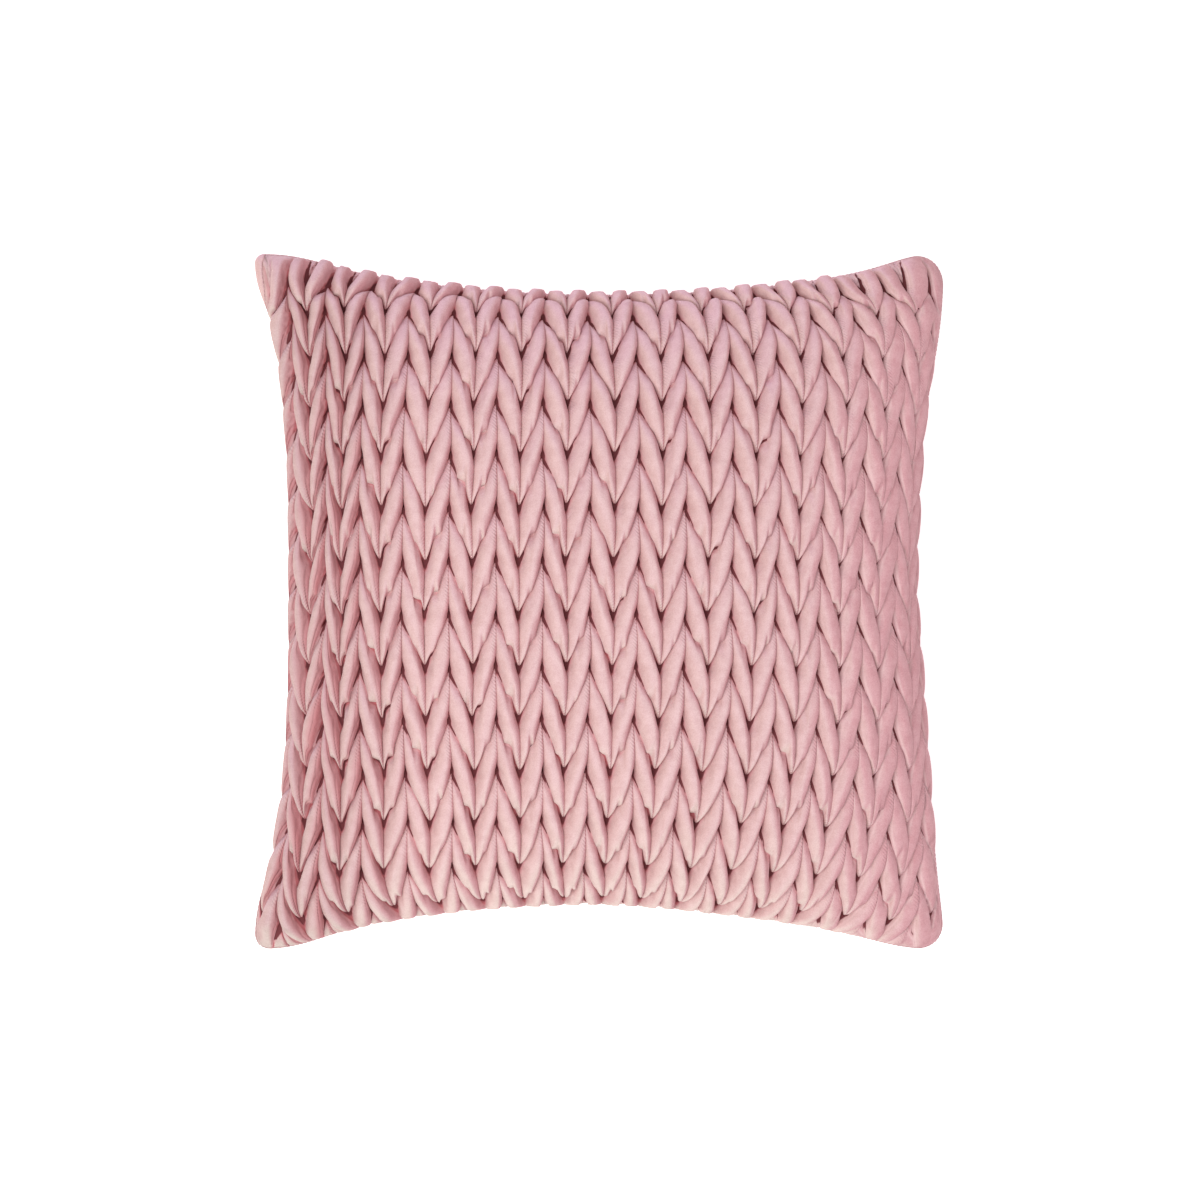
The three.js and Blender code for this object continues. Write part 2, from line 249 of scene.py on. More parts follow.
def rounded_corner(a, b):
    """Brings in the places beside a corner, so that it is round."""
    at_top, at_bottom = (np.where(a > 0, *CORNER_RADII[end]) for end in ("top", "bottom"))
    radius = np.where(b > 0, at_top, at_bottom) / HALF_ACROSS
    p, q = ((np.abs(share) - 1 + radius) / radius for share in (a, b))
    in_corner = (p > 0) & (q > 0)
    round_a = np.sign(a) * (1 - radius + radius * p * np.sqrt(np.maximum(0, 1 - q * q / 2)))
    round_b = np.sign(b) * (1 - radius + radius * q * np.sqrt(np.maximum(0, 1 - p * p / 2)))
    return np.where(in_corner, round_a, a), np.where(in_corner, round_b, b)


def plan(a, b):
    """Place seen from above, for shares of the half spans."""
    across, along = rounded_corner(a, b)
    x = across * (HALF_ACROSS - drawn_in(along, DRAW["left"], DRAW["right"], across))
    y = along * (HALF_ALONG - drawn_in(across, DRAW["bottom"], DRAW["top"], along))
    return x, y


def crown_point(u, v):
    """Point on the plain crown, for shares of the cloth from its middle to its edges."""
    a = u + (across_by_cloth(u) - u) * crest(v) ** 2
    b = v + (along_by_cloth(v) - v) * crest(u) ** 2
    x, y = plan(a, b)
    return np.stack([x, y, SEAM_HEIGHT + CROWN * crest(a) * crest(b)], axis=-1)


def unit(vectors):
    return vectors / np.maximum(np.linalg.norm(vectors, axis=-1, keepdims=True), 1e-12)


def crown_directions(u, v):
    """Unit vectors across the crown, along it and out of it."""
    step_u, step_v = (np.minimum(SLOPE_STEP, (1 - np.abs(share)) / 2 + 1e-5) for share in (u, v))
    u = np.clip(u, -1 + step_u, 1 - step_u)
    v = np.clip(v, -1 + step_v, 1 - step_v)
    across = unit(crown_point(u + step_u, v) - crown_point(u - step_u, v))
    along = unit(crown_point(u, v + step_v) - crown_point(u, v - step_v))
    return across, along, unit(np.cross(across, along))


def smooth_step(value, low, high):
    """Rises from 0 at low to 1 at high, and falls where high is the smaller one."""
    share = np.clip((value - low) / (high - low), 0, 1)
    return share * share * (3 - 2 * share)


# The built outline's middle goes to the middle of the CAD part's box
rim_share = np.linspace(-1, 1, SAMPLES["outline"])
one = np.ones_like(rim_share)
rim_x, rim_y = plan(
    np.concatenate([rim_share, rim_share, one, -one]),
    np.concatenate([one, -one, rim_share, rim_share]),
)
rim_middle = np.array([rim_x.min() + rim_x.max(), rim_y.min() + rim_y.max()]) / 2
SHIFT = np.append((back_low + back_high)[:2] / 2 - rim_middle, 0.0)


# Smocking
def from_top_crease(column):
    return np.abs(column - (2 * np.floor(column / 2) + 1))


def smooth_between(share, low, middle, high):
    """A value known at both sides and midway, where share is from -1 to 1."""
    share = share / STRAY_PLACE
    return middle + (high - low) / 2 * share + ((low + high) / 2 - middle) * share ** 2


def cloth_shares(column, row):
    """Shares of the cloth, from its middle, at which a column and row lie."""
    v = np.clip((MIDDLE_ROW - row) / HALF_ROWS, -1, 1)
    moved = EDGE_DRIFT * v / 2
    u = np.clip((column - MIDDLE_COLUMN - moved) / (HALF_COLUMNS + moved), -1, 1)
    bow_across, skew_across, pinch = (smooth_between(v, *values) for values in zip(*STRAY_ACROSS.values()))
    bow_along, skew_along = (smooth_between(u, *values) for values in zip(*STRAY_ALONG.values()))
    across = (1 - u * u) * (bow_across + skew_across * u + pinch * (5 * u * u - 1))
    along = (1 - v * v) * (bow_along + skew_along * v)
    for side, from_side in (("left", 1 + u), ("right", 1 - u)):
        move_across, move_along, reach_across, reach_along = CORNER_STRAY[side]
        corner = hump(from_side / reach_across, (1 - v) / reach_along)
        across += move_across * corner * smooth_step(from_side, 0, STRAY_FADE["across"])
        along -= move_along * corner * smooth_step(1 - v, 0, STRAY_FADE["along"])
    (place_u, place_v), (reach_u, reach_v) = LEFT_STRAY["place"], LEFT_STRAY["reach"]
    moved_right = LEFT_STRAY["move"] * hump((u - place_u) / reach_u, (v - place_v) / reach_v)
    across += moved_right * smooth_step(1 + u, 0, STRAY_FADE["across"])
    first_row, second_row = (1 - FIRST_ROW) / HALF_ROWS, (2 - FIRST_ROW) / HALF_ROWS
    dropped = smooth_step(1 - v, 0, first_row) * smooth_step(1 - v, second_row, first_row)
    return u + across / HALF_ACROSS, v + along / HALF_ALONG - TOP_DROP * dropped


def way_round(a, b):
    """Way round the square outline, from its top left corner down the left side, 0 to 4."""
    return np.select(
        [(a <= -1) & (b > -1), (b <= -1) & (a < 1), (a >= 1) & (b < 1)],
        [(1 - b) / 2, 1 + (1 + a) / 2, 2 + (1 + b) / 2],
        3 + (1 - a) / 2,
    )


def strip_share(way):
    """Share of the half span by which the seam lies inside the outline."""
    at_corner = 1 - smooth_step(way, *STRIP_LENGTHS) + smooth_step(way, STRIP_START, 4)
    return (SEAM_STRIP + CORNER_STRIP * at_corner) / HALF_ACROSS


def inside_seam(u, v):
    """Draws the front's cloth in from the outline to the seam."""
    reach = np.maximum(np.maximum(np.abs(u), np.abs(v)), 1e-9)
    drawn = strip_share(way_round(u / reach, v / reach)) + CLEARANCE / HALF_ACROSS
    shrink = 1 - drawn * smooth_step(reach, SEAM_PULL, 1)
    return u * shrink, v * shrink


# Each fold's own sizes
fold_size = rng.uniform(-1, 1, FOLDS)
fold_tone = rng.uniform(-1, 1, FOLDS)
kink_size = rng.uniform(0, 1, FOLDS) ** KINK_RARITY
kink_place = rng.uniform(*KINK_PLACES, FOLDS)
dimple_size = rng.uniform(*DIMPLE_SIZES, FOLDS)
wedge_size = rng.uniform(*WEDGE_SIZES, FOLDS)
knot_stray = rng.uniform(-1, 1, (*FOLDS, 2)) * KNOT_WANDER


def of_fold(table, column_index, row_index):
    return table[column_index + FOLDS_BEFORE, np.clip(row_index + FOLDS_BEFORE, 0, FOLDS[1] - 1)]


def fold_places(column, row):
    """Shares across and down a point's fold, and the fold's own column and row."""
    p = from_top_crease(column)
    slanted = row - p
    column_index = np.floor(column).astype(int)
    row_index = np.floor(slanted + 1e-9).astype(int)
    q = np.clip(slanted - row_index, 0, 1)
    return p, q, column_index, row_index


def by_side(values, to_side):
    """A value that changes from the middle columns to those at the left and right sides."""
    to_left, to_right = smooth_step(-to_side, *LEFT_CHANGE), smooth_step(to_side, *RIGHT_CHANGE)
    middle = values["middle"]
    return middle + (values["left"] - middle) * to_left + (values["right"] - middle) * to_right


def section(share, squareness):
    """Height of a fold's rounded section, from 0 to 1, at a share of its width."""
    return np.maximum(0, 1 - np.abs(2 * share - 1) ** squareness) ** ROUNDNESS


def bulge(share):
    """How far a fold's side stands out over its crease, at a share from -1 to 1 across it."""
    reach = np.abs(share)
    return np.sign(share) * reach ** 6 * (1 - reach ** 20)


def open_wedge(p, to_side, fold):
    """Share of a fold's height that lies open under the fold above it."""
    along_crease = np.where(fold[0] % 2 == 1, p, 1 - p)
    wedge = by_side(WEDGE["left end"], to_side) * (1 - smooth_step(along_crease, *WEDGE_REACH["left end"]))
    wedge += by_side(WEDGE["right end"], to_side) * smooth_step(along_crease, *WEDGE_REACH["right end"])
    return wedge * of_fold(wedge_size, *fold)


def between_gaps(p, q, to_side, to_top):
    """Share of a fold's width between the gaps that open at its knots, and how near a knot is."""
    near_top = np.maximum(0, 1 - (1 - q) / KNOT_LENGTH)
    near_bottom = np.maximum(0, 1 - q / KNOT_LENGTH)
    openness = by_side(KNOT_SIDES, to_side)
    gap_at_top = KNOT_GAP["top"] * (1 + KNOT_TILT["top"] * to_top) * near_top * openness
    gap_at_bottom = KNOT_GAP["bottom"] * (1 + KNOT_TILT["bottom"] * to_top) * near_bottom * openness
    within = np.clip((p - gap_at_top) / (1 - gap_at_top - gap_at_bottom), 0, 1)
    return within, smooth_step(np.where(p < 0.5, near_top, near_bottom), 0, KNOT_GRIP)


def kink_move(size, p, along, distance):
    """Sideways step of a slanting crease, at a place along it and a distance from it."""
    run = np.where(along < 0, *KINK["runs"])
    step = -np.tanh(along / KINK["turn"]) * hump(along / run)
    near = hump(distance / KINK["breadth"]) * smooth_step(p * (1 - p), 0, KINK["knot"])
    return KINK["step"] * size * step * near


def dimple_depth(size, puff, along, distance):
    """Depth of the dent beside a kink."""
    off = (along - DIMPLE["off"] - DIMPLE["slant"] * distance) / DIMPLE["width"]
    dent = hump(off, (distance - DIMPLE["below"]) / DIMPLE["length"])
    return DIMPLE["depth"] * size * dent * np.minimum(1, DIMPLE["fade"] * puff)


def fold_shape(column, row):
    """Rise of the folds, their moves across and along, how puffed they are and how near a knot is, or how
    far into an open wedge, where shade is painted.
    """
    p, q, *fold = fold_places(column, row)
    to_top = (MIDDLE_ROW - row) / HALF_ROWS
    to_side = (column - MIDDLE_COLUMN) / HALF_COLUMNS
    to_right = fold[0] % 2 == 1
    leans_right = np.where(to_right, 1.0, -1.0)
    slant = math.hypot(COLUMN_CLOTH, ROW_CLOTH)
    beside = np.stack([-leans_right * ROW_CLOTH / slant, np.full_like(p, -COLUMN_CLOTH / slant)], -1)
    wedge = open_wedge(p, to_side, fold)
    # painted shade in the open wedge under the fold above
    under = smooth_step(wedge - q, *WEDGE_SHADE) * smooth_step(wedge, *WEDGE_LEAST)
    past_kink = p - of_fold(kink_place, *fold) - np.where(to_right, NOTCH["shift"], 0.0)
    wedge += NOTCH["share"] * of_fold(kink_size, *fold) * hump(past_kink / NOTCH["width"])
    below_wedge = np.clip((q - wedge) / (1 - wedge), 0, 1)
    within, at_knot = between_gaps(p, q, to_side, to_top)
    side_depth = by_side(SIDE_SHARE, to_side) * smooth_step(column, FIRST_COLUMN, FIRST_CREASE_END)
    side_depth += (1 - side_depth) * at_knot
    between_knots = smooth_step(p, 0, SLANT_FADE) * smooth_step(p, 1, 1 - SLANT_FADE)
    slant_depth = 1 - (1 - SLANT_SHARE) * between_knots
    puff = 1 - side_depth * (1 - section(within, SHOULDER))
    puff = puff * (1 - slant_depth * (1 - section(below_wedge, SHOULDER)))
    full = puff * (1 - TUCK * hump(q / TUCK_REACH[1], p / TUCK_REACH[0]))
    rise = by_side(FOLD_RISE, to_side) * full
    in_top_row = smooth_step(row - FIRST_ROW, *CAP["rows"])
    rise *= 1 + (np.where(to_right, CAP["falling"], CAP["rising"]) - 1) * in_top_row
    rise *= 1 + UNEVENNESS * of_fold(fold_size, *fold)
    sideways = np.stack([FOLD_LEAN[0] * rise, FOLD_LEAN[1] * rise], -1)
    sideways[..., 0] += leans_right * BULGE["straight"] * bulge(2 * p - 1) * section(q, SHOULDER)
    press = BULGE["slanting"] * np.maximum(0, bulge(2 * q - 1)) * section(p, SHOULDER)
    sideways += press[..., None] * beside
    for above, distance in ((0, q), (1, 1 - q)):
        crease = fold[0], fold[1] + above
        along = p - of_fold(kink_place, *crease)
        sideways += kink_move(of_fold(kink_size, *crease), p, along, distance)[..., None] * beside
        size = of_fold(dimple_size, *crease)
        rise = rise - dimple_depth(np.maximum(0, size if above else -size), puff, along, distance)
    to_knot = np.hypot(
        (column - np.round(column)) * COLUMN_CLOTH, (row - np.round(row)) * ROW_CLOTH * KNOT_SQUEEZE
    )
    knot = hump(to_knot / KNOT_RADIUS)
    return rise - KNOT_DEPTH * knot - CREASE_DEPTH, sideways, puff, np.maximum(knot, under)


def strayed(column, row):
    """How far the cloth at a point is pulled along with the knots around it."""
    left, above = np.floor(column).astype(int), np.floor(row).astype(int)
    share = smooth_step(column - left, 0, 1)[..., None]
    drop = smooth_step(row - above, 0, 1)[..., None]
    upper, lower = (
        of_fold(knot_stray, left, line) * (1 - share) + of_fold(knot_stray, left + 1, line) * share
        for line in (above, above + 1)
    )
    return upper * (1 - drop) + lower * drop


def finish_marks(column, row):
    """Where a point lies across its fold, and the fine gathers at the folds' tips."""
    p, q, column_index, _ = fold_places(column, row)
    to_right = column_index % 2 == 1
    share = column - column_index
    depth = q + p
    if_right = np.stack([np.maximum(0, depth - 1), np.minimum(1, depth)])
    low, high = np.where(to_right, if_right, 1 - if_right[::-1])
    across = np.clip((share - low) / np.maximum(high - low, 1e-6), 0, 1)
    shown = np.maximum(0, (across - HIDDEN_SHARE) / (1 - HIDDEN_SHARE))
    across = np.where(column_index <= 0, shown, across)
    below = smooth_step(q, *RIB_START)
    gathers = np.where(to_right, below, 1 - below) * smooth_step(share, 1 - RIB_REACH, 1 - RIB_REACH / 2)
    near_top = smooth_step(row - FIRST_ROW, *FURROW_ROWS) * ~to_right
    gathers = np.maximum(gathers, near_top * smooth_step(share, 2 * FURROW_REACH, FURROW_REACH))
    rising = np.where(to_right, 1, -1)
    run = math.sin(RIB_SLANT) * COLUMN_CLOTH * column + rising * math.cos(RIB_SLANT) * ROW_CLOTH * row
    return across, gathers, run


def spaced(count):
    """Shares from 0 to 1 that lie closer at both ends."""
    even = np.linspace(0, 1, count + 1)
    return CLOSE_SHARE * (0.5 - 0.5 * np.cos(math.pi * even)) + EVEN_SHARE * even


def spaced_for_kinks(count):
    """Shares from a top crease to a bottom one, close at both and where the folds kink."""
    fine = np.linspace(0, 1, SAMPLES["spacing"])
    closeness = np.ones_like(fine)
    for place, more, reach in CLOSER_LINES.values():
        closeness += more * hump((fine - place) / reach)
    total = np.cumsum(closeness) - closeness[0]
    return np.interp(np.linspace(0, 1, count + 1), total / total[-1], fine)


def smocking_grid():
    """Columns and rows of the front's points, in lines that follow the slanting creases."""
    to_right = spaced_for_kinks(LINES_PER_COLUMN)
    to_left = (1 - to_right)[::-1]
    whole = math.floor(LAST_COLUMN) - 1
    lines = np.concatenate([
        np.linspace(FIRST_COLUMN, 0, LEFT_LINES, endpoint=False),
        np.concatenate([index + (to_right if index % 2 else to_left)[:-1] for index in range(whole)]),
    ])
    right = np.linspace(0, 1, RIGHT_LINES)
    nominal = np.concatenate([lines, whole + right * (LAST_COLUMN - whole)])
    zigzag = from_top_crease(nominal)
    first_fold, last_fold = 1, math.floor(LAST_ROW) - 1
    top_crease = np.maximum(zigzag, FIRST_ROW + EDGE_ROWS)
    bottom_crease = np.minimum(last_fold + 1 + zigzag, LAST_ROW - EDGE_ROWS)
    last_crease = last_fold + zigzag
    whole_folds = [index + spaced(POINTS_PER_FOLD)[:-1] for index in range(first_fold, last_fold)]
    row = np.concatenate([
        FIRST_ROW + np.outer(top_crease - FIRST_ROW, np.linspace(0, 1, EDGE_POINTS, endpoint=False)),
        top_crease[:, None] + np.outer(1 + zigzag - top_crease, spaced(END_POINTS)[:-1]),
        zigzag[:, None] + np.concatenate(whole_folds)[None, :],
        last_crease[:, None] + np.outer(bottom_crease - last_fold - zigzag, spaced(END_POINTS)[:-1]),
        bottom_crease[:, None] + np.outer(LAST_ROW - bottom_crease, np.linspace(0, 1, EDGE_POINTS + 1)),
    ], axis=1)
    column = np.repeat(nominal[:, None], row.shape[1], axis=1)
    v = (MIDDLE_ROW - row[len(lines):]) / HALF_ROWS
    right_edge = LAST_COLUMN + EDGE_DRIFT * v
    column[len(lines):] = whole + (right_edge - whole) * right[:, None]
    return column, row


def smocked_points(column, row):
    """Points of the smocked cloth before it settles, how puffed it is there and how near a knot, or into an
    open wedge, where shade is painted.
    """
    u, v = cloth_shares(column, row)
    to_side = (1 - np.abs(u)) * CUT / 2
    to_end = (1 - np.abs(v)) * CUT / 2
    u, v = inside_seam(u, v)
    across, along, out = crown_directions(u, v)
    rise, sideways, puff, knot = fold_shape(column, row)
    calm = np.exp(-(((1 + u) * CUT / 2) ** 2 + to_end ** 2) / CORNER_CALM ** 2) * (v > 0)
    rise, puff, knot = rise * (1 - calm), puff + (1 - puff) * calm, knot * (1 - calm)
    off_middle = np.abs(2 * (column - np.floor(column)) - 1)
    rounded = to_end - CAP["rounding"] * off_middle ** CAP["turn"] * (v > 0)
    end_take_up = np.where(v > 0, SEAM_TAKE_UP["top"], SEAM_TAKE_UP["bottom"])
    take_up = smooth_step(to_side / SEAM_TAKE_UP["across"], 0, 1) * smooth_step(rounded / end_take_up, 0, 1)
    at_seam = smooth_step(np.minimum(to_side, to_end), 0, SEAM_FADE)
    gather = np.where(v < 0, SEAM_GATHER["bottom"], SEAM_GATHER["top"])
    gather = gather * (1 - take_up) * at_seam * (1 - puff)
    lift = BOTTOM_LIFT * (v < 0) * at_seam * smooth_step(to_end, *BOTTOM_LIFT_REACH)
    points = crown_point(u, v) + (rise * take_up - gather + lift)[..., None] * out
    sideways = sideways + strayed(column, row)
    held = take_up * smooth_step(to_end, *HELD_REACH)
    points += (sideways[..., 0] * held)[..., None] * across
    points += (sideways[..., 1] * held)[..., None] * along
    return points, puff, knot


def along_lines(values, places, count):
    """Values known at some of the lines of a grid, worked out for all, with the grid turned over."""
    every = np.arange(count)
    return np.stack([
        [np.interp(every, places, values[:, index, axis]) for index in range(values.shape[1])]
        for axis in range(3)
    ], axis=-1)


def settled(points):
    """How far each point moves when the filling presses on folds that are held at their creases."""
    lines = np.array([0, *range(1, points.shape[0], 2)])
    if lines[-1] != points.shape[0] - 1:
        lines = np.append(lines, points.shape[0] - 1)
    depths = np.arange(0, points.shape[1], 2)
    start = points[np.ix_(lines, depths)]
    cloth = new_mesh("smocked cloth", start, quads(len(lines), len(depths)))
    creases = cloth.vertex_groups.new(name="creases")
    held_line = (lines - LEFT_LINES) % LINES_PER_COLUMN == 0
    held_line |= (lines < LEFT_LINES) | (lines > points.shape[0] - RIGHT_LINES)
    held_depth = (depths - EDGE_POINTS - END_POINTS) % POINTS_PER_FOLD == 0
    held_depth |= (depths <= EDGE_POINTS) | (depths >= points.shape[1] - EDGE_POINTS - 1)
    held = held_line[:, None] | held_depth[None, :]
    creases.add(np.flatnonzero(held).tolist(), 1.0, "REPLACE")
    modifier = cloth.modifiers.new("cloth", "CLOTH")
    settings = modifier.settings
    settings.quality = SETTLE_QUALITY
    settings.vertex_group_mass = "creases"
    settings.use_pressure = True
    settings.uniform_pressure_force = FILLING_PRESSURE
    settings.shrink_min = -SPARE_CLOTH
    settings.effector_weights.gravity = 0
    scene = bpy.context.scene
    for number in range(1, SETTLE_FRAMES + 1):
        scene.frame_set(number)
    shaped = cloth.evaluated_get(bpy.context.evaluated_depsgraph_get())
    ends = np.empty(start.size)
    shaped.to_mesh().vertices.foreach_get("co", ends)
    shaped.to_mesh_clear()
    bpy.data.objects.remove(cloth)
    scene.frame_set(1)
    moves = ends.reshape(start.shape) - start
    reach = np.linalg.norm(moves, axis=-1, keepdims=True) / SETTLE_CAP
    moves *= np.tanh(reach) / np.maximum(reach, 1e-9)
    free = ~held[1:-1, 1:-1, None]
    for _ in range(SETTLE_SMOOTHINGS):
        beside = moves[:-2, 1:-1] + moves[2:, 1:-1] + moves[1:-1, :-2] + moves[1:-1, 2:]
        moves[1:-1, 1:-1] = free * (0.5 * moves[1:-1, 1:-1] + 0.125 * beside)
    return along_lines(along_lines(moves, lines, points.shape[0]), depths, points.shape[1])


def held_in(points, rising):
    """Lets the folds stand out over the seam only a little, as seen from above."""
    edge = np.linspace(-1, 1, SAMPLES["edge"])
    for name, axis, fixed in (("left", 0, -1), ("right", 0, 1), ("bottom", 1, -1), ("top", 1, 1)):
        same = np.full_like(edge, fixed)
        rim = plan(*((same, edge) if axis == 0 else (edge, same)))
        order = np.argsort(rim[1 - axis])
        reach = np.interp(points[..., 1 - axis], rim[1 - axis][order], rim[axis][order])
        over = fixed * (points[..., axis] - reach)
        limit = OVERHANG[name] + CAP["overhang"] * rising * (name == "top")
        points[..., axis] -= fixed * np.maximum(0, over - limit * np.tanh(over / limit))
    return points


# Back
def outline_shares(way):
    """Shares of the half spans, way round the square outline from its top left corner."""
    side = np.floor(way).astype(int) % 4
    along = (way % 1) * 2 - 1
    edge = np.ones_like(way)
    a = np.choose(side, [-edge, along, edge, -along])
    b = np.choose(side, [-along, -edge, along, edge])
    return np.stack([a, b], axis=-1)


def back_surface(shares, ways):
    """Rings of points on the outside of the back, and the way out of it at each, level at the outline."""
    square = outline_shares(ways)
    around = unit(square)
    rounding = smooth_step(1 - shares, 0, 1 - REST_SHARE)[:, None, None]
    places = shares[:, None, None] * (square + rounding * (around - square))
    a, b = places[..., 0], places[..., 1]
    fullness = np.minimum(1, crest(a) * crest(b) / REST_FULLNESS)
    x, y = plan(a, b)
    points = np.stack([x, y, SEAM_HEIGHT * (1 - fullness) ** BELLY], axis=-1)
    round_way = np.roll(points, -1, axis=1) - np.roll(points, 1, axis=1)
    inwards = np.gradient(points, axis=0)
    out = unit(np.cross(inwards, round_way))
    out[0] = unit(out[0] * (1, 1, 0))
    return points, out


pucker_places = rng.uniform(0, 4, PUCKERS)
pucker_heights = rng.uniform(*PUCKER_SIZES, PUCKERS) * PUCKER_HEIGHT
pucker_reaches = rng.uniform(*PUCKER_REACHES, PUCKERS)


def puckers(shares, ways):
    """How far the puckers raise the back: they start beside the seam and are longer at the corners."""
    height = np.zeros((len(shares), len(ways)))
    for place, high, reach in zip(pucker_places, pucker_heights, pucker_reaches):
        to_corner = 1 - 2 * abs((place + 0.5) % 1 - 0.5)
        off = (ways - place + 2) % 4 - 2
        ridge = hump(off * HALF_ACROSS * 2 / PUCKER_WIDTH)
        reach = reach * (PUCKER_LENGTHS[0] + PUCKER_LENGTHS[1] * to_corner ** 3)
        along = smooth_step(1 - shares, *PUCKER_START) * smooth_step(1 - shares, reach, PUCKER_START[1])
        height = np.maximum(height, high * along[:, None] * ridge[None, :])
    return height


def strip_surface(ways):
    """Points on the plain strip, from the outline over the front to the seam, and the way out."""
    square = outline_shares(ways)
    reach = np.linspace(0, 1, STRIP_POINTS)[:, None]
    drawn = 1 - strip_share(ways) * reach
    u, v = square[:, 0] * drawn, square[:, 1] * drawn
    return crown_point(u, v), crown_directions(u, v)[2]


def quads(width, height):
    index = np.arange(width * height).reshape(width, height)
    corners = [index[:-1, :-1], index[:-1, 1:], index[1:, 1:], index[1:, :-1]]
    return np.stack(corners, axis=-1).reshape(-1, 4)


def placed(name, data):
    """A new object in the scene."""
    thing = bpy.data.objects.new(name, data)
    bpy.context.scene.collection.objects.link(thing)
    return thing


def new_mesh(name, points, *faces, edges=()):
    """An object made of points, with its faces in any number of arrays."""
    mesh = bpy.data.meshes.new(name)
    corners = [face for part in faces for face in part.tolist()]
    mesh.from_pydata(points.reshape(-1, 3).tolist(), edges, corners)
    mesh.validate()
    mesh.update()
    mesh.shade_smooth()
    return placed(name, mesh)


def add_values(mesh, name, values):
    attribute = mesh.attributes.new(name, "FLOAT", "POINT")
    attribute.data.foreach_set("value", np.ascontiguousarray(values, dtype=np.float32).ravel())


def add_facing(mesh):
    """How far the cloth faces to the right and to the top, which sets the painted light and shade that
    partly stand for its nap.
    """
    normals = np.empty(3 * len(mesh.vertices), dtype=np.float32)
    mesh.vertices.foreach_get("normal", normals)
    add_values(mesh, "to_right", normals[0::3])
    add_values(mesh, "to_top", normals[1::3])


def edge_indices(lines, depth):
    """Points on the edge of a grid, from its top left corner down, across, up and back."""
    index = np.arange(lines * depth).reshape(lines, depth)
    return np.concatenate([index[0, :-1], index[:-1, -1], index[-1, :0:-1], index[:0:-1, 0]])


def ring_faces(rings):
    """Faces between rings of points, which face down where the rings run inwards."""
    faces = []
    for outer, inner in zip(rings[:-1], rings[1:]):
        faces.append(np.stack([np.roll(outer, -1), outer, inner, np.roll(inner, -1)], axis=-1))
    return np.concatenate(faces)


def fan(first, second, middle):
    """Faces that close a ring to its middle: first and second are the ring and the ring one point on."""
    return np.stack([first, second, np.full(len(first), middle)], axis=-1)


def smocked_front():
    column, row = smocking_grid()
    u, v = cloth_shares(column, row)
    points, puff, knot = smocked_points(column, row)
    points = held_in(points + settled(points), np.floor(column) % 2 == 0)
    edge = edge_indices(*column.shape)
    ways = way_round(u.ravel()[edge].round(6), v.ravel()[edge].round(6))
    seam_out = strip_surface(ways)[1][-1]
    turned_in = points.reshape(-1, 3)[edge] - (PANEL_THICKNESS + CLEARANCE) * seam_out
    shares = np.array(UNDER_RINGS)
    under, out = back_surface(shares, ways)
    under = under - (PANEL_THICKNESS + CLEARANCE) * out
    count = len(ways)
    first = points.shape[0] * points.shape[1]
    rings = [edge] + [first + ring * count + np.arange(count) for ring in range(len(shares) + 1)]
    middle = first + (len(shares) + 1) * count
    closed = fan(np.roll(rings[-1], -1), rings[-1], middle)
    every = np.concatenate([
        points.reshape(-1, 3), turned_in, under.reshape(-1, 3), [[0, 0, PANEL_THICKNESS + CLEARANCE]]
    ])
    faces = quads(*column.shape), ring_faces(rings), closed
    piece = new_mesh("smocked_front_velvet", every + SHIFT, *faces)
    tone = of_fold(fold_tone, *fold_places(column, row)[2:])
    across, gathers, run = finish_marks(column, row)
    marks = {"puff": puff, "knot": knot, "tone": tone, "across": across, "gathers": gathers, "run": run}
    for name, values in marks.items():
        add_values(piece.data, name, np.append(values, np.zeros(len(every) - first)))
    add_facing(piece.data)
    return piece


def back_panel():
    within = 0.5 - 0.5 * np.cos(math.pi * np.arange(RIM_POINTS) / RIM_POINTS)
    corner_strip = np.linspace(0, STRIP_LENGTHS[1], CORNER_POINTS)[1:-1]
    ways = np.sort(np.concatenate([side + within for side in range(4)] + [corner_strip]))
    shares = 1 - (1 - INNER_RING) * np.linspace(0, 1, PANEL_RINGS) ** RING_SPREAD
    points, out = back_surface(shares, ways)
    points = points + puckers(shares, ways)[..., None] * out
    points[..., 2] = np.maximum(points[..., 2], 0)
    strip, strip_out = (part[:0:-1] for part in strip_surface(ways))
    points = np.concatenate([strip, points])
    out = np.concatenate([strip_out, out])
    inner = points - PANEL_THICKNESS * out
    count = len(ways)
    total = count * len(points)
    outer_rings = [ring * count + np.arange(count) for ring in range(len(points))]
    inner_rings = [total + ring for ring in outer_rings]
    middle = 2 * total
    outer_rim, inner_rim = outer_rings[0], inner_rings[0]
    rim = np.stack([outer_rim, np.roll(outer_rim, -1), np.roll(inner_rim, -1), inner_rim], axis=-1)
    faces = (
        ring_faces(outer_rings),
        fan(np.roll(outer_rings[-1], -1), outer_rings[-1], middle),
        ring_faces(inner_rings)[:, ::-1],
        fan(inner_rings[-1], np.roll(inner_rings[-1], -1), middle + 1),
        rim,
    )
    every = np.concatenate([
        points.reshape(-1, 3), inner.reshape(-1, 3), [[0, 0, 0], [0, 0, PANEL_THICKNESS]]
    ])
    piece = new_mesh("back_panel_velvet", every + SHIFT, *faces)
    add_facing(piece.data)
    return piece


front = smocked_front()
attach(front, "root")
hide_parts("smocked_front")

back = back_panel()
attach(back, "root")
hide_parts("back_panel")


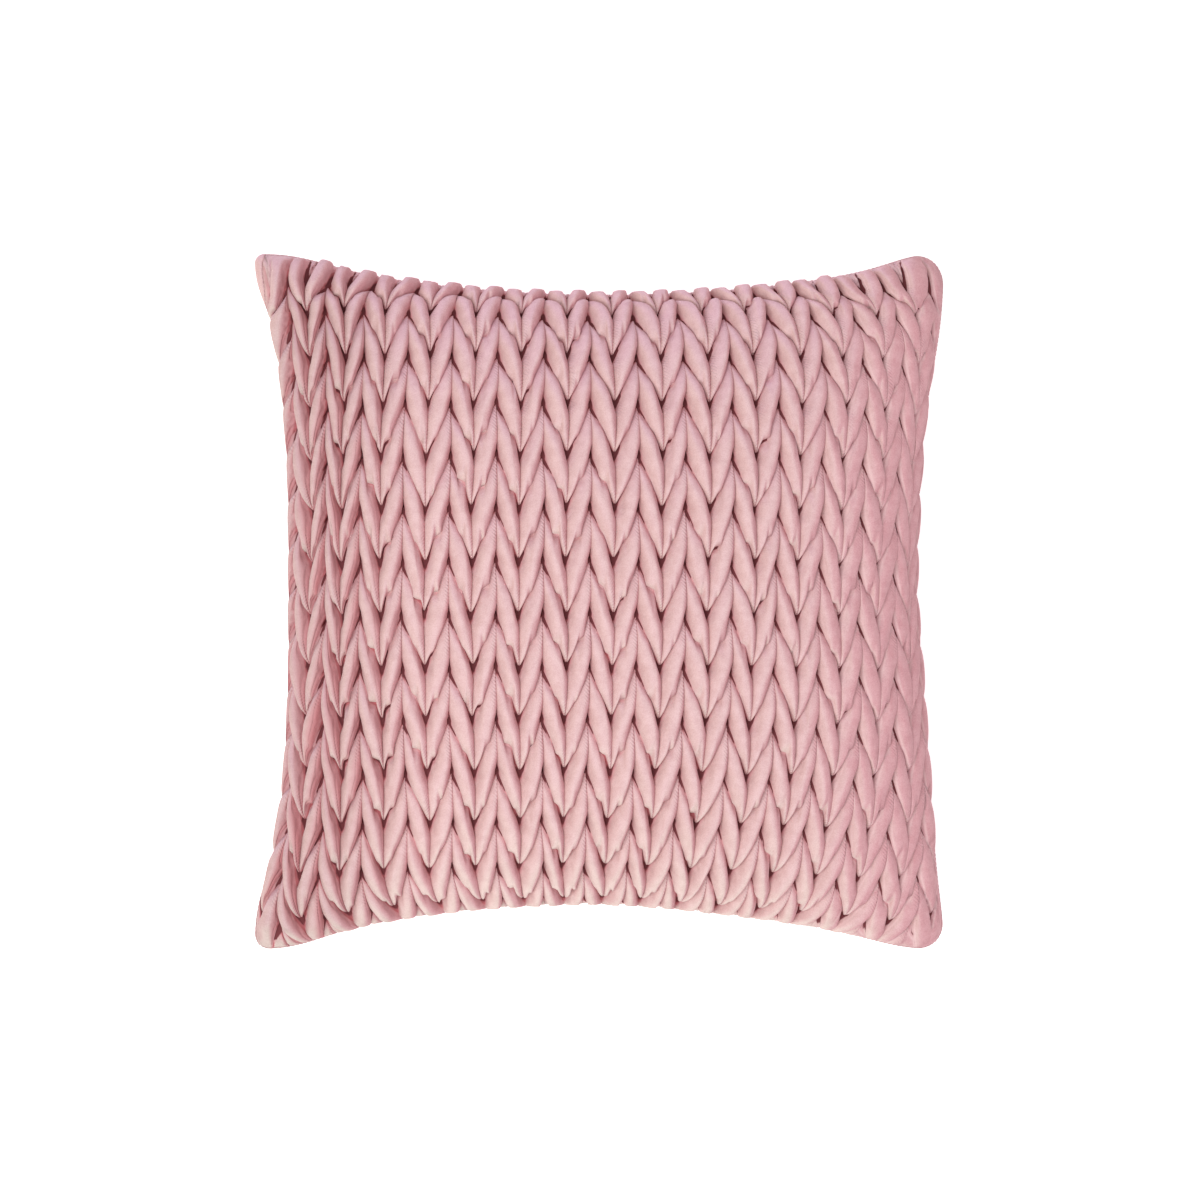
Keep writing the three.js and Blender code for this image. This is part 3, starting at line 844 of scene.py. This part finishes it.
# Nodes and materials
class Value:
    """What a node gives, so that sums in a material are written as ordinary ones."""

    def __init__(self, tree, socket):
        self.tree = tree
        self.socket = socket

    def sum(self, operation, first, second):
        return self.tree.node("ShaderNodeMath", {"operation": operation}, {0: first, 1: second})[0]

    def __add__(self, other):
        return self.sum("ADD", self, other)

    def __sub__(self, other):
        return self.sum("SUBTRACT", self, other)

    def __rsub__(self, other):
        return self.sum("SUBTRACT", other, self)

    def __mul__(self, other):
        return self.sum("MULTIPLY", self, other)

    __radd__ = __add__
    __rmul__ = __mul__


class Tree:
    """Makes and links the nodes of a material, or of Geometry Nodes."""

    def __init__(self, tree):
        self.nodes = tree.nodes
        self.links = tree.links

    def fill(self, node, values):
        for key, value in values.items():
            if isinstance(value, Value):
                self.links.new(value.socket, node.inputs[key])
            else:
                node.inputs[key].default_value = value

    def node(self, kind, settings=None, values=None):
        node = self.nodes.new(kind)
        for name, setting in (settings or {}).items():
            setattr(node, name, setting)
        self.fill(node, values or {})
        return [Value(self, socket) for socket in node.outputs if socket.enabled]


class Recipe(Tree):
    """The nodes of one material."""

    def __init__(self, name, **finish):
        self.material = bpy.data.materials.new(name)
        self.material.use_nodes = True
        super().__init__(self.material.node_tree)
        self.shader = self.nodes["Principled BSDF"]
        self.fill(self.shader, {socket.replace("_", " "): value for socket, value in finish.items()})

    def attribute(self, name):
        return self.node("ShaderNodeAttribute", {"attribute_name": name})[2]

    def place(self):
        return self.node("ShaderNodeTexCoord")[3]

    def mixed(self, share, first, second, blend="MIX"):
        settings = {"data_type": "RGBA", "blend_type": blend}
        return self.node("ShaderNodeMix", settings, {0: share, 6: first, 7: second})[0]

    def between(self, value, low, high):
        settings = {"interpolation_type": "SMOOTHSTEP"}
        return self.node("ShaderNodeMapRange", settings, {0: value, 1: low, 2: high})[0]

    def noise(self, place, scale, detail):
        return self.node("ShaderNodeTexNoise", {}, {"Vector": place, "Scale": scale, "Detail": detail})[0]

    def bump(self, height, distance, strength, normal=None):
        values = {"Height": height, "Distance": distance, "Strength": strength}
        if normal:
            values["Normal"] = normal
        return self.node("ShaderNodeBump", {}, values)[0]

    def paint_pit_shade(self, share, colour):
        """Paints shade: turns the finish to a dull dark one, where share is 1."""
        finish = Value(self, self.shader.outputs[0])
        dull = self.node("ShaderNodeBsdfDiffuse", {}, {"Color": colour})[0]
        both = self.node("ShaderNodeMixShader", {}, {0: share, 1: finish, 2: dull})[0]
        self.fill(self.nodes["Material Output"], {"Surface": both})


MIDDLE_PINK = (0.717, 0.46, 0.466, 1)
NAP_AND_FACING_SHADE = {  # painted light and shade, partly standing for the nap: pink of cloth that faces each way, and how far it turns until that begins and is full
    "left": ((0.684, 0.43, 0.41, 1), (0.0, 0.8)),
    "bottom": ((0.735, 0.55, 0.50, 1), (0.1, 0.8)),
    "top": ((0.73, 0.43, 0.505, 1), (0.1, 0.8)),
    "right": ((0.65, 0.315, 0.345, 1), (0.0, 0.9)),
}
PATCHES = {"scale": 70, "strength": 0.3}  # how unevenly it turns
RIGHT_NAP_AND_SHADE, RIGHT_NAP_AND_SHADE_BAND = 0.6, (0.08, 0.18)  # painted shade, partly for the nap: how much more at the right, and where
SLOPE_SHADE_PINK = (0.64, 0.32, 0.335, 1)  # painted shade on the slopes and right sides of the folds
LEFT_SHADE_PINK = (0.86, 0.88, 0.875, 1)  # painted shade over the left side
# painted shade in the creases
CREASE_SHADE_PINK = (0.48, 0.16, 0.172, 1)
# painted shade in the knots' pits and open wedges
PIT_SHADE_MAROON = (0.17, 0.05, 0.055, 1)
# painted sheen
SHEEN_RIM_PINK = (0.84, 0.60, 0.60, 1)
THREAD_PINK = (0.68, 0.42, 0.43, 1)
THREAD_DARK = (0.52, 0.27, 0.29, 1)
VELVET = {
    "Roughness": 0.85,
    "Specular_IOR_Level": 0.05,
    "Sheen_Weight": 0.06,
    "Sheen_Roughness": 0.4,
    "Sheen_Tint": (1.0, 0.75, 0.78, 1.0),
}
PILE = {"scale": 1500, "range": (0.35, 0.65), "strength": 0.07}
WEAR = {"scale": 170, "range": (0.3, 0.7), "strength": 0.05}
LEFT_BAND, RIGHT_BAND = (0.10, 0.19), (0.10, 0.18)  # distances from the middle, for the sides' painted shade and light
TOP_BAND, TOP_FADE = (0.16, 0.205), 0.6  # the left side's painted shade is weaker here, by this share
TONE_WANDER, PLEAT_WANDER = 0.12, 0.05  # how far a fold's shades lie from the next fold's
NAP_AND_SHADE_SIDE, SIDE_SHADE_SHARES = (0.3, 1.25), (0.15, 0.7)  # painted shade on each fold's right side, partly for the nap: places across a fold; everywhere, and more at the left
# painted shade over the right part of the left side's folds: places across a fold, and how strong
SHADED, SHADE_SHARE = (0.5, 1.05), 0.8
PLEAT, PLEAT_DEPTH = (0.73, 0.80, 0.87), 0.3  # a narrow furrow along the left side's folds
SHADE_SLANT, RIGHT_LIGHT = (0.05, 0.25), 0.25  # painted shade, more across a fold, and less at the right
CREASE_SHADE, SLOPE_SHADE = (0.0, 0.18), (0.03, 0.45)  # how puffed the cloth is where each painted shade ends
SHEEN_RIM, SHEEN_RIM_SHARE = (0.3, 0.5, 0.7), 0.5  # painted sheen: pale cloth beside the right side's creases
PIT_SHADE_EDGE, PIT_SHADE_NARROWING = (0.05, 0.5), (2.5, 0.9)  # painted shade in the pits: everywhere, and less at the left
RIB_RELIEF, SOFT_RELIEF, PILE_RELIEF = (0.0005, 0.4), (0.0020, 0.7), (0.0004, 0.5)  # depth and strength
SOFT_SCALE = 80
TWIST, TWIST_SCALE, TWIST_RELIEF = (0.3, 0.7), 2600, (0.0002, 0.6)


def nap_and_shade_colour(velvet, place):
    """The velvet's pink with painted light and shade by the way the cloth faces, deeper at the right, partly
    standing for its nap.
    """
    to_right, to_top = velvet.attribute("to_right"), velvet.attribute("to_top")
    patchy = PATCHES["strength"] * velvet.noise(place, PATCHES["scale"], 3) - PATCHES["strength"] / 2
    at_right = velvet.between(velvet.node("ShaderNodeSeparateXYZ", {}, {0: place})[0], *RIGHT_NAP_AND_SHADE_BAND)
    turned = {
        "left": 0 - to_right + patchy,
        "bottom": 0 - to_top + patchy,
        "top": to_top + patchy,
        "right": to_right + patchy + RIGHT_NAP_AND_SHADE * at_right,
    }
    colour = MIDDLE_PINK
    for way, (pink, reach) in NAP_AND_FACING_SHADE.items():
        colour = velvet.mixed(velvet.between(turned[way], *reach), colour, pink)
    return colour


def speckled(velvet, place, colour):
    """The same pink with the pile's fine grain and worn patches, and that grain."""
    pile = velvet.noise(place, PILE["scale"], 2)
    for spots, look in ((pile, PILE), (velvet.noise(place, WEAR["scale"], 3), WEAR)):
        grey = velvet.mixed(velvet.between(spots, *look["range"]), BLACK, WHITE)
        colour = velvet.mixed(look["strength"], colour, grey)
    return colour, pile


def smocked_velvet():
    velvet = Recipe("smocked velvet", **VELVET)
    place = velvet.place()
    puff, knot, tone, across, gathers, run = (
        velvet.attribute(name) for name in ("puff", "knot", "tone", "across", "gathers", "run")
    )
    across_cushion, along_cushion = velvet.node("ShaderNodeSeparateXYZ", {}, {0: place})[:2]
    at_left = velvet.between(0 - across_cushion, *LEFT_BAND)
    at_left = at_left * (1 - TOP_FADE * velvet.between(along_cushion, *TOP_BAND))
    at_right = velvet.between(across_cushion, *RIGHT_BAND)
    # painted light and shade by the way the cloth faces, with the pile's grain and wear
    face, pile = speckled(velvet, place, nap_and_shade_colour(velvet, place))
    # painted shade over the left side
    face = velvet.mixed(at_left, face, LEFT_SHADE_PINK, "MULTIPLY")
    toned = across + TONE_WANDER * tone
    # painted shade down each fold's right side, partly standing for the nap
    side_shade = velvet.between(toned, *NAP_AND_SHADE_SIDE) * (SIDE_SHADE_SHARES[0] + SIDE_SHADE_SHARES[1] * at_left)
    face = velvet.mixed(side_shade, face, SLOPE_SHADE_PINK)
    # painted shade over the right part of each fold at the left side
    face = velvet.mixed(SHADE_SHARE * at_left * velvet.between(toned, *SHADED), face, CREASE_SHADE_PINK)
    # painted shade in the creases and on the slopes, by how puffed the cloth is
    shade = puff - (SHADE_SLANT[0] + SHADE_SLANT[1] * at_left) * across + RIGHT_LIGHT * at_right
    sloping = velvet.mixed(velvet.between(shade, *SLOPE_SHADE), SLOPE_SHADE_PINK, face)
    shaded = velvet.mixed(velvet.between(shade, *CREASE_SHADE), CREASE_SHADE_PINK, sloping)
    # painted sheen beside the right side's creases
    low, middle, high = SHEEN_RIM
    rim = velvet.between(puff, low, middle) * velvet.between(0 - puff, -high, -middle)
    shaded = velvet.mixed(SHEEN_RIM_SHARE * at_right * rim, shaded, SHEEN_RIM_PINK)
    pleated = across + PLEAT_WANDER * tone
    low, middle, high = PLEAT
    pleat = at_left * velvet.between(pleated, low, middle) * velvet.between(0 - pleated, -high, -middle)
    ribs = velvet.node("ShaderNodeMath", {"operation": "SINE"}, {0: run * (2 * math.pi / RIB_PITCH)})[0]
    ribbed = velvet.bump(ribs * gathers, *RIB_RELIEF)
    soft = velvet.noise(place, SOFT_SCALE, 3) - PLEAT_DEPTH * pleat
    normal = velvet.bump(pile, *PILE_RELIEF, velvet.bump(soft, *SOFT_RELIEF, ribbed))
    velvet.fill(velvet.shader, {"Base Color": shaded, "Normal": normal})
    # painted shade: dark pits at the knots and open wedges
    narrowed = (PIT_SHADE_NARROWING[0] - PIT_SHADE_NARROWING[1] * at_left) * puff
    velvet.paint_pit_shade(velvet.between(knot - narrowed, *PIT_SHADE_EDGE), PIT_SHADE_MAROON)
    return velvet.material


def plain_velvet():
    velvet = Recipe("plain velvet", **VELVET)
    place = velvet.place()
    # painted light and shade by the way the cloth faces
    face, pile = speckled(velvet, place, nap_and_shade_colour(velvet, place))
    velvet.fill(velvet.shader, {"Base Color": face, "Normal": velvet.bump(pile, *PILE_RELIEF)})
    return velvet.material


def thread():
    strand = Recipe("matching thread", Roughness=0.6, Specular_IOR_Level=0.3)
    twist = strand.noise(strand.place(), TWIST_SCALE, 2)
    colour = strand.mixed(strand.between(twist, *TWIST), THREAD_DARK, THREAD_PINK)
    strand.fill(strand.shader, {"Base Color": colour, "Normal": strand.bump(twist, *TWIST_RELIEF)})
    return strand.material


# Seam
def stitch_tree(finish):
    """Geometry Nodes that lay stitches end to end along a path."""
    group = bpy.data.node_groups.new("stitches along a seam", "GeometryNodeTree")
    group.interface.new_socket("Path", in_out="INPUT", socket_type="NodeSocketGeometry")
    group.interface.new_socket("Stitches", in_out="OUTPUT", socket_type="NodeSocketGeometry")
    sockets = {}
    for name in STITCH:
        socket = group.interface.new_socket(name, in_out="INPUT", socket_type="NodeSocketFloat")
        sockets[name] = socket.identifier
    tree = Tree(group)
    path, pitch, length, thickness = tree.node("NodeGroupInput")[:4]
    curve = tree.node("GeometryNodeMeshToCurve", {}, {"Mesh": path})[0]
    places = tree.node("GeometryNodeResampleCurve", {"mode": "LENGTH"}, {"Curve": curve, "Length": pitch})[0]
    bead = tree.node("GeometryNodeMeshUVSphere", {}, BEAD)[0]
    smooth_bead = tree.node("GeometryNodeSetShadeSmooth", {}, {"Geometry": bead})[0]
    size = tree.node("ShaderNodeCombineXYZ", {}, {"X": length, "Y": thickness, "Z": thickness})[0]
    tangent = tree.node("GeometryNodeInputTangent")[0]
    turned = tree.node("FunctionNodeAlignRotationToVector", {"axis": "X"}, {"Vector": tangent})[0]
    laid = tree.node("GeometryNodeInstanceOnPoints", {}, {
        "Points": places, "Instance": smooth_bead, "Rotation": turned, "Scale": size,
    })[0]
    real = tree.node("GeometryNodeRealizeInstances", {}, {"Geometry": laid})[0]
    finished = tree.node("GeometryNodeSetMaterial", {}, {"Geometry": real, "Material": finish})[0]
    tree.node("NodeGroupOutput", {}, {"Stitches": finished})
    return group, sockets


def seam_stitches(finish):
    ways = np.linspace(0, 4, SEAM_POINTS, endpoint=False)
    seam, seam_out = (part[-1] for part in strip_surface(ways))
    places = seam + STITCH["Thickness"] * STITCH_LIFT * seam_out + SHIFT
    around = [(index, (index + 1) % SEAM_POINTS) for index in range(SEAM_POINTS)]
    path = new_mesh("seam path", places, edges=around)
    modifier = path.modifiers.new("stitches", "NODES")
    modifier.node_group, sockets = stitch_tree(finish)
    for name, size in STITCH.items():
        modifier[sockets[name]] = size
    depsgraph = bpy.context.evaluated_depsgraph_get()
    mesh = bpy.data.meshes.new_from_object(path.evaluated_get(depsgraph))
    bpy.data.objects.remove(path)
    return placed("seam_stitches", mesh)


front.data.materials.append(smocked_velvet())
back.data.materials.append(plain_velvet())
stitches = seam_stitches(thread())
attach(stitches, "root")

# Stage
floor_corners = FLOOR_HALF * np.array([(-1, -1, 0), (1, -1, 0), (1, 1, 0), (-1, 1, 0)])
floor = new_mesh("floor", floor_corners, np.array([[0, 1, 2, 3]]))
floor.data.materials.append(Recipe(
    "pale floor", Base_Color=PALE, Roughness=0.9, Emission_Color=WHITE, Emission_Strength=FLOOR_LIGHT
).material)

world = bpy.data.worlds.new("studio")
bpy.context.scene.world = world
world.use_nodes = True
world.node_tree.nodes["Background"].inputs["Color"].default_value = WHITE
world.node_tree.nodes["Background"].inputs["Strength"].default_value = WORLD_LIGHT

key_data = bpy.data.lights.new("key light", "AREA")
key_data.size = KEY_LIGHT["size"]
key_data.energy = KEY_LIGHT["power"]
key_light = placed("key light", key_data)
key_light.location = KEY_LIGHT["place"]
key_light.rotation_euler = (-key_light.location).to_track_quat("-Z", "Y").to_euler()

camera_data = bpy.data.cameras.new("camera")
camera_data.sensor_width = SENSOR
camera_data.lens = SENSOR * (VIEW_HEIGHT - SEAM_HEIGHT) / (PICTURE_PIXELS * PIXEL)
camera = placed("camera", camera_data)
camera.location = (*VIEW_CENTRE, VIEW_HEIGHT)
bpy.context.scene.camera = camera
bpy.context.scene.view_settings.view_transform = "Standard"
